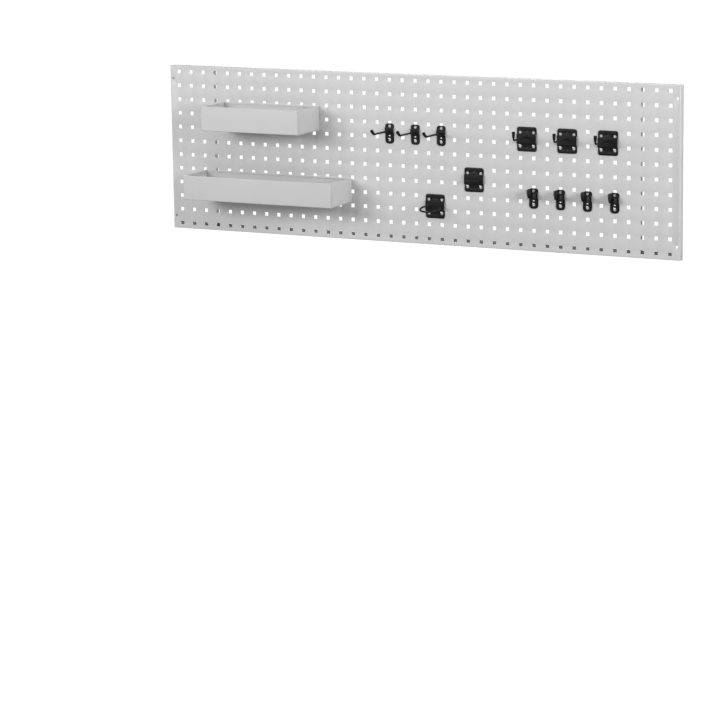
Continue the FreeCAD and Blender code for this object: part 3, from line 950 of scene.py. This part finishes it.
@dataclass(kw_only=True)
class RodHook(PlateHolder):
    """Plate with one rod whose tip is bent up and capped."""

    reach: float
    tip_reach: float
    tip_rise: float
    rod_radius: float = 2.5 * MM
    bend_radius: float = 6.0 * MM
    tip_round: float = 1.4 * MM
    weld_leg: float = 1.5 * MM
    cap_length: float = 15.4 * MM
    cap_end_wall: float = 1.5 * MM
    cap_mouth_radius: float = 3.55 * MM
    cap_lip_round: float = 0.25 * MM
    cap_lip_height: float = 1.2 * MM
    cap_lip_swell: float = 0.05 * MM
    cap_lip_step: float = 0.5 * MM
    cap_neck_inset: float = 0.08 * MM
    cap_waist_share: float = 0.55
    cap_end_radius: float = 4.40 * MM
    cap_end_inset: float = 0.05 * MM
    cap_end_round: float = 1.3 * MM
    cap_round_steps: int = 6
    facets: int = 28
    bend_steps: int = 14

    def pieces(self) -> Iterator[tuple[Piece, Finish]]:
        """Builds the plate, the rod and its cap.

        Yields:
            Each piece and its finish.
        """
        yield self.plate(), Finishes.HOLDER
        yield self._rod(), Finishes.HOLDER
        yield self._cap(), Finishes.CAP

    def _foot(self) -> Vector:
        """Middle of the rod where it stands on its plate."""
        low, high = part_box(f"{self.body}_rod")
        return Vector(((low.x + high.x) / 2, high.y, low.z + self.rod_radius + self.weld_leg))

    def _rod(self) -> Piece:
        """Rod from the plate's face out to its tip, with its weld.

        Returns:
            The piece.
        """
        foot = self._foot()
        angle = math.atan2(self.tip_rise, self.tip_reach)
        tangent = self.bend_radius * math.tan(angle / 2)
        tip_run = math.hypot(self.tip_reach, self.tip_rise) - self.cap_end_wall
        shape = bmesh.new()
        former = Former(shape, MeshTools.disc(shape, foot, self.rod_radius, FRONT, self.facets), FRONT)
        former.run(foot.y + self.reach - tangent, 4).bend(angle, UP, self.bend_radius, self.bend_steps)
        former.run(tip_run - tangent, 2)
        MeshTools.rounded(shape, former.end.edges, self.tip_round)
        WeldBead().lay(shape, foot, self.rod_radius, seed=foot.x / MM)
        return MeshTools.finish(shape, f"{self.body}_round_rod", self.body, f"{self.body}_rod")

    def _cap(self) -> Piece:
        """Moulded cap on the tip, with a soft lip at its mouth and a rounded end.

        Returns:
            The piece.
        """
        foot = self._foot()
        tip = Vector((0, -self.tip_reach, self.tip_rise))
        way = tip.normalized()
        elbow = Vector((foot.x, -self.reach, foot.z))
        mouth = elbow + way * (tip.length - self.cap_length)
        mouth_radius = self.cap_mouth_radius
        end_radius = self.cap_end_radius - self.cap_end_inset
        shoulder = self.cap_length - self.cap_end_round
        profile = [
            (0.0, mouth_radius - self.cap_lip_round),
            (self.cap_lip_round, mouth_radius),
            (self.cap_lip_height, mouth_radius + self.cap_lip_swell),
            (self.cap_lip_height + self.cap_lip_step, mouth_radius - self.cap_neck_inset),
            (self.cap_length * self.cap_waist_share, (mouth_radius + self.cap_end_radius) / 2),
            (shoulder, end_radius),
        ]
        for step in range(1, self.cap_round_steps + 1):
            turn = QUARTER_TURN * step / self.cap_round_steps
            rise = self.cap_end_round * math.sin(turn)
            inset = self.cap_end_round * (1.0 - math.cos(turn))
            profile.append((shoulder + rise, end_radius - inset))
        shape = bmesh.new()
        MeshTools.turned(shape, mouth, way, profile, self.facets)
        return MeshTools.finish(shape, f"{self.body}_tip_cap", self.body, f"{self.body}_cap")


@dataclass(kw_only=True)
class PliersHolder(PlateHolder):
    """Plate with a level wire loop."""

    body: str = "pliers_holder"
    rod_radius: float = 2.5 * MM
    bend_radius: float = 6.0 * MM
    weld_collar: float = 4.0 * MM
    facets: int = 24

    def pieces(self) -> Iterator[tuple[Piece, Finish]]:
        """Builds the plate and the loop.

        Yields:
            Each piece and its finish.
        """
        yield self.plate(), Finishes.HOLDER
        low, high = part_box("pliers_holder_loop")
        left = Vector((low.x + self.weld_collar, high.y, (low.z + high.z) / 2))
        right = Vector((high.x - self.weld_collar, left.y, left.z))
        reach = left.y - low.y - self.rod_radius - self.bend_radius
        shape = bmesh.new()
        former = Former(shape, MeshTools.disc(shape, left, self.rod_radius, FRONT, self.facets), FRONT)
        former.run(reach, 2).bend(QUARTER_TURN, RIGHT, self.bend_radius)
        former.run(right.x - left.x - 2 * self.bend_radius, 4)
        former.bend(QUARTER_TURN, -FRONT, self.bend_radius).run(reach, 2)
        for foot, seed in ((left, 0.0), (right, 1.7)):
            WeldBead().lay(shape, foot, self.rod_radius, seed)
        loop = MeshTools.finish(shape, "pliers_wire_loop", self.body, "pliers_holder_loop")
        yield loop, Finishes.HOLDER


@dataclass(kw_only=True)
class RingHolder(PlateHolder):
    """Plate with a round wire ring that slopes down to the front."""

    body: str = "ring_holder"
    rod_radius: float = 2.5 * MM
    ring_radius: float = 26.4 * MM
    slope: float = math.radians(11.2)
    weld_radius: float = 1.0 * MM
    weld_inset: float = 0.25 * MM
    weld_half_length: float = 7.0 * MM
    weld_height_share: float = 0.8
    weld_ripple: float = 0.13
    weld_ripples: float = 4200.0
    weld_facets: int = 10
    weld_steps: int = 28
    facets: int = 20
    ring_steps: int = 96

    def pieces(self) -> Iterator[tuple[Piece, Finish]]:
        """Builds the plate and the ring.

        Yields:
            Each piece and its finish.
        """
        yield self.plate(), Finishes.HOLDER
        low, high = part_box("ring_holder_ring")
        band_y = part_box("ring_holder_plate")[0].y
        down = Vector((0, -math.cos(self.slope), -math.sin(self.slope)))
        far = Vector(((low.x + high.x) / 2, low.y + self.rod_radius, low.z + self.rod_radius))
        centre = far - down * self.ring_radius
        normal = Vector((0, -math.sin(self.slope), math.cos(self.slope)))
        shape = bmesh.new()
        section = MeshTools.disc(shape, far, self.rod_radius, RIGHT, self.facets)
        MeshTools.hoop(shape, section, centre, normal, self.ring_steps)
        bmesh.ops.remove_doubles(shape, verts=shape.verts, dist=SAME_PLACE)
        cut = bmesh.ops.bisect_plane(
            shape, geom=list(shape.verts) + list(shape.edges) + list(shape.faces), dist=SAME_PLACE / 10,
            plane_co=(0, band_y, 0), plane_no=-FRONT, clear_outer=True,
        )["geom_cut"]
        rim = [part for part in cut if isinstance(part, bmesh.types.BMEdge)]
        bmesh.ops.holes_fill(shape, edges=rim, sides=0)
        self._weld_lines(shape, centre - down * self.ring_radius, band_y)
        yield MeshTools.finish(shape, "ring_wire", self.body, "ring_holder_ring"), Finishes.HOLDER

    def _weld_lines(self, shape: Shape, touch: Vector, band_y: float) -> None:
        """Adds a rippled line of weld above and below the ring where it lies on its plate.

        Args:
            shape: the mesh to add to.
            touch: middle of the wire where it meets the plate.
            band_y: front of the plate.
        """
        rise = self.rod_radius * self.weld_height_share
        for height in (rise, -rise):
            start = Vector((touch.x - self.weld_half_length, band_y - self.weld_inset, touch.z + height))
            face = MeshTools.disc(shape, start, self.weld_radius, RIGHT, self.weld_facets)
            before = set(shape.verts)
            former = Former(shape, face, RIGHT).run(2 * self.weld_half_length, self.weld_steps)
            points = [point for point in shape.verts if point not in before]
            for point in points + list(former.end.verts):
                ripple = 1.0 + self.weld_ripple * math.sin((point.co.x - start.x) * self.weld_ripples)
                point.co.z = start.z + (point.co.z - start.z) * ripple
                point.co.y = min(band_y, start.y + (point.co.y - start.y) * ripple)


@dataclass(kw_only=True)
class SpringClip(PlateHolder):
    """Narrow plate with a riveted spring of two arms."""

    spring_edge_radius: float = 0.20 * MM
    head_height: float = 1.6 * MM
    head_skirt_share: float = 0.35
    head_crown_share: float = 0.62
    head_round: float = 1.0 * MM
    shank_radius: float = 2.0 * MM
    tail_radius: float = 3.2 * MM
    tail_height: float = 1.2 * MM
    tail_round: float = 0.4 * MM
    head_facets: int = 32
    shank_facets: int = 24

    def pieces(self) -> Iterator[tuple[Piece, Finish]]:
        """Builds the plate, the spring and the rivet.

        Yields:
            Each piece and its finish.
        """
        yield self.plate(), Finishes.HOLDER
        spring = MeshTools.softened(
            f"{self.body}_spring", f"{self.body}_bent_spring", self.body, self.spring_edge_radius,
        )
        yield spring, Finishes.SPRING
        yield self._rivet(), Finishes.RIVET

    def _rivet(self) -> Piece:
        """Domed rivet with its shank and tail.

        Returns:
            The piece.
        """
        low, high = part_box(f"{self.body}_rivet")
        crown = Vector(((low.x + high.x) / 2, low.y, (low.z + high.z) / 2))
        head_radius = (high.x - low.x) / 2
        back = -FRONT
        start = crown + back * self.head_height
        shape = bmesh.new()
        head = Former(shape, MeshTools.disc(shape, start, head_radius, FRONT, self.head_facets), FRONT)
        head.run(self.head_height * self.head_skirt_share)
        dome = head.run(self.head_height * (1.0 - self.head_skirt_share)).end
        shrink = (self.head_crown_share, 1.0, self.head_crown_share)
        bmesh.ops.scale(shape, verts=dome.verts, vec=shrink, space=Matrix.Translation(-crown))
        MeshTools.rounded(shape, dome.edges, self.head_round)
        shank = MeshTools.disc(shape, start, self.shank_radius, back, self.shank_facets)
        Former(shape, shank, back).run(high.y - start.y - self.tail_height / 2)
        tail_start = Vector((crown.x, high.y - self.tail_height, crown.z))
        tail = MeshTools.disc(shape, tail_start, self.tail_radius, back, self.shank_facets)
        tail_end = Former(shape, tail, back).run(self.tail_height).end
        MeshTools.rounded(shape, tail_end.edges, self.tail_round, segments=2)
        return MeshTools.finish(shape, f"{self.body}_dome_rivet", self.body, f"{self.body}_rivet")


@dataclass
class Tray(SubAssembly):
    """Open tray of folded sheet with filled and painted inside corners."""

    body: str
    edge_radius: float = 0.22 * MM
    corner_bend: float = 2.5 * MM
    seam_radius: float = 1.5 * MM
    seam_inset: float = 1.9 * MM
    seam_foot: float = 0.6 * MM
    seam_top_gap: float = 0.5 * MM
    seam_top_round: float = 0.6 * MM
    seam_facets: int = 20

    def pieces(self) -> Iterator[tuple[Piece, Finish]]:
        """Builds the sheets and the corner seams.

        Yields:
            Each piece and its finish.
        """
        for part in ("shell", "left_end", "right_end"):
            node = f"{self.body}_{part}"
            yield MeshTools.softened(node, f"{node}_sheet", self.body, self.edge_radius), Finishes.TRAY
        yield self._corner_seams(), Finishes.TRAY

    def _corner_seams(self) -> Piece:
        """Upright weld seam in each inside corner, from the floor up to the folded rim.

        Returns:
            The four seams as one piece.
        """
        low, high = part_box(f"{self.body}_shell")
        end_low, end_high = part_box(f"{self.body}_left_end")
        front = end_low.y - self.corner_bend + self.seam_inset
        back = end_high.y + self.corner_bend - self.seam_inset
        left = low.x + self.seam_inset
        right = high.x - self.seam_inset
        floor = low.z + self.seam_foot
        shape = bmesh.new()
        for x in (left, right):
            for y in (front, back):
                face = MeshTools.disc(shape, Vector((x, y, floor)), self.seam_radius, UP, self.seam_facets)
                former = Former(shape, face, UP).run(high.z - self.seam_top_gap - floor, 4)
                MeshTools.rounded(shape, former.end.edges, self.seam_top_round)
        return MeshTools.finish(shape, f"{self.body}_corner_seams", self.body)


# Studio


@dataclass(frozen=True)
class SoftLamp:
    """Wide soft lamp that aims at the middle of the object."""

    name: str
    place: tuple[float, float, float]
    width: float
    height: float
    watts: float

    def build(self) -> None:
        """Adds the lamp to the scene."""
        data = bpy.data.lights.new(self.name, "AREA")
        data.shape = "RECTANGLE"
        data.size = self.width
        data.size_y = self.height
        data.energy = self.watts
        lamp = bpy.data.objects.new(self.name, data)
        place = Vector(self.place)
        lamp.location = place
        lamp.rotation_euler = (-place).to_track_quat("-Z", "Y").to_euler()
        bpy.context.scene.collection.objects.link(lamp)


@dataclass
class Studio:
    """Floor, light and camera."""

    lamps: tuple[SoftLamp, ...] = (
        SoftLamp("front_left", (-1.3, -2.4, 0.75), 1.8, 0.75, 48.0),
        SoftLamp("far_right", (3.2, -1.3, 0.9), 1.2, 1.2, 88.0),
        SoftLamp("overhead", (-0.2, -0.25, 1.7), 2.4, 0.7, 20.0),
        SoftLamp("behind_panel", (0.0, 1.30, 0.98), 2.4, 0.4, 20.0),
    )
    floor_height: float = -1.10
    floor_side: float = 80.0
    floor_grey: float = 0.86
    floor_roughness: float = 0.9
    floor_glow: float = 0.95
    light_from_above: float = 0.12
    light_from_below: float = 0.62
    horizon_softness: float = 0.1
    backdrop_strength: float = 1.25
    camera_place: tuple[float, float, float] = (3.596, -7.239, 1.054)
    camera_azimuth: float = math.radians(27.517)
    camera_elevation: float = math.radians(11.151)
    camera_roll: float = math.radians(-0.82)
    focal_pixels: float = 3070.2
    picture_pixels: float = 720.0
    sensor_mm: float = 36.0
    farthest_view: float = 200.0

    def build(self) -> None:
        """Builds the floor, the lights and the camera."""
        self._floor()
        self._surroundings()
        for lamp in self.lamps:
            lamp.build()
        self._camera()

    def _floor(self) -> None:
        """Plain pale floor, far below the panel."""
        shape = bmesh.new()
        bmesh.ops.create_grid(shape, x_segments=1, y_segments=1, size=self.floor_side / 2,
                              matrix=Matrix.Translation((0, 0, self.floor_height)))
        data = bpy.data.meshes.new("floor")
        shape.to_mesh(data)
        shape.free()
        floor = bpy.data.objects.new("floor", data)
        bpy.context.scene.collection.objects.link(floor)
        floor.visible_diffuse = False
        floor.visible_glossy = False
        material = bpy.data.materials.new("pale_floor")
        material.use_nodes = True
        tree = material.node_tree
        NodeNet(tree).fill(tree.nodes["Principled BSDF"], {
            "Base Color": (self.floor_grey, self.floor_grey, self.floor_grey, 1.0),
            "Roughness": self.floor_roughness,
            "Specular IOR Level": 0.0,
            "Emission Color": (1.0, 1.0, 1.0, 1.0),
            "Emission Strength": self.floor_glow,
        })
        data.materials.append(material)

    def _surroundings(self) -> None:
        """White backdrop that gives more light from below, as a pale bench would, than from above."""
        world = bpy.data.worlds.new("studio_white")
        world.use_nodes = True
        world.node_tree.nodes.clear()
        net = NodeNet(world.node_tree)
        way = net.add("ShaderNodeTexCoord").outputs["Generated"]
        height = net.add("ShaderNodeSeparateXYZ", Vector=way).outputs["Z"]
        strength = net.ramp(height, -self.horizon_softness, self.horizon_softness,
                            self.light_from_below, self.light_from_above)
        lighting = net.add("ShaderNodeBackground", Strength=strength)
        backdrop = net.add("ShaderNodeBackground", Strength=self.backdrop_strength)
        seen = net.add("ShaderNodeLightPath").outputs["Is Camera Ray"]
        choice = net.add("ShaderNodeMixShader", Fac=seen)
        net.feed(choice.inputs[1], lighting.outputs["Background"])
        net.feed(choice.inputs[2], backdrop.outputs["Background"])
        net.add("ShaderNodeOutputWorld", Surface=choice.outputs["Shader"])
        bpy.context.scene.world = world

    def _camera(self) -> None:
        """Camera at the photograph's place, with its focal length."""
        data = bpy.data.cameras.new("camera")
        data.sensor_fit = "HORIZONTAL"
        data.sensor_width = self.sensor_mm
        data.lens = self.focal_pixels / self.picture_pixels * self.sensor_mm
        data.clip_end = self.farthest_view
        camera = bpy.data.objects.new("camera", data)
        turned = Matrix.Rotation(self.camera_azimuth, 4, "Z")
        tilted = Matrix.Rotation(QUARTER_TURN - self.camera_elevation, 4, "X")
        rolled = Matrix.Rotation(self.camera_roll, 4, "Z")
        camera.matrix_world = Matrix.Translation(self.camera_place) @ turned @ tilted @ rolled
        bpy.context.scene.collection.objects.link(camera)
        bpy.context.scene.camera = camera
        bpy.context.scene.view_settings.view_transform = "Standard"


def main() -> None:
    """Builds the object and the studio round it."""
    logging.basicConfig(level=logging.INFO, format="%(name)s: %(message)s")
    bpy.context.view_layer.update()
    finishes = Finishes()
    assemblies: list[SubAssembly] = [WallPanel()]
    for number in (1, 2, 3):
        assemblies.append(RodHook(
            body=f"slanted_hook_{number}", reach=92.5 * MM, tip_reach=14.0 * MM, tip_rise=11.5 * MM,
        ))
    for number in (1, 2, 3):
        assemblies.append(RodHook(
            body=f"upright_hook_{number}", reach=84.0 * MM, tip_reach=0.5 * MM, tip_rise=22.5 * MM,
        ))
    assemblies += [PliersHolder(), RingHolder()]
    assemblies += [SpringClip(body=f"spring_clip_{number}") for number in (1, 2, 3, 4)]
    assemblies += [Tray("small_tray"), Tray("large_tray")]
    for assembly in assemblies:
        for piece in assembly.build(finishes):
            LOG.info("%s: %d faces", piece.name, len(piece.data.polygons))
    Studio().build()


if __name__ == "__main__":
    main()
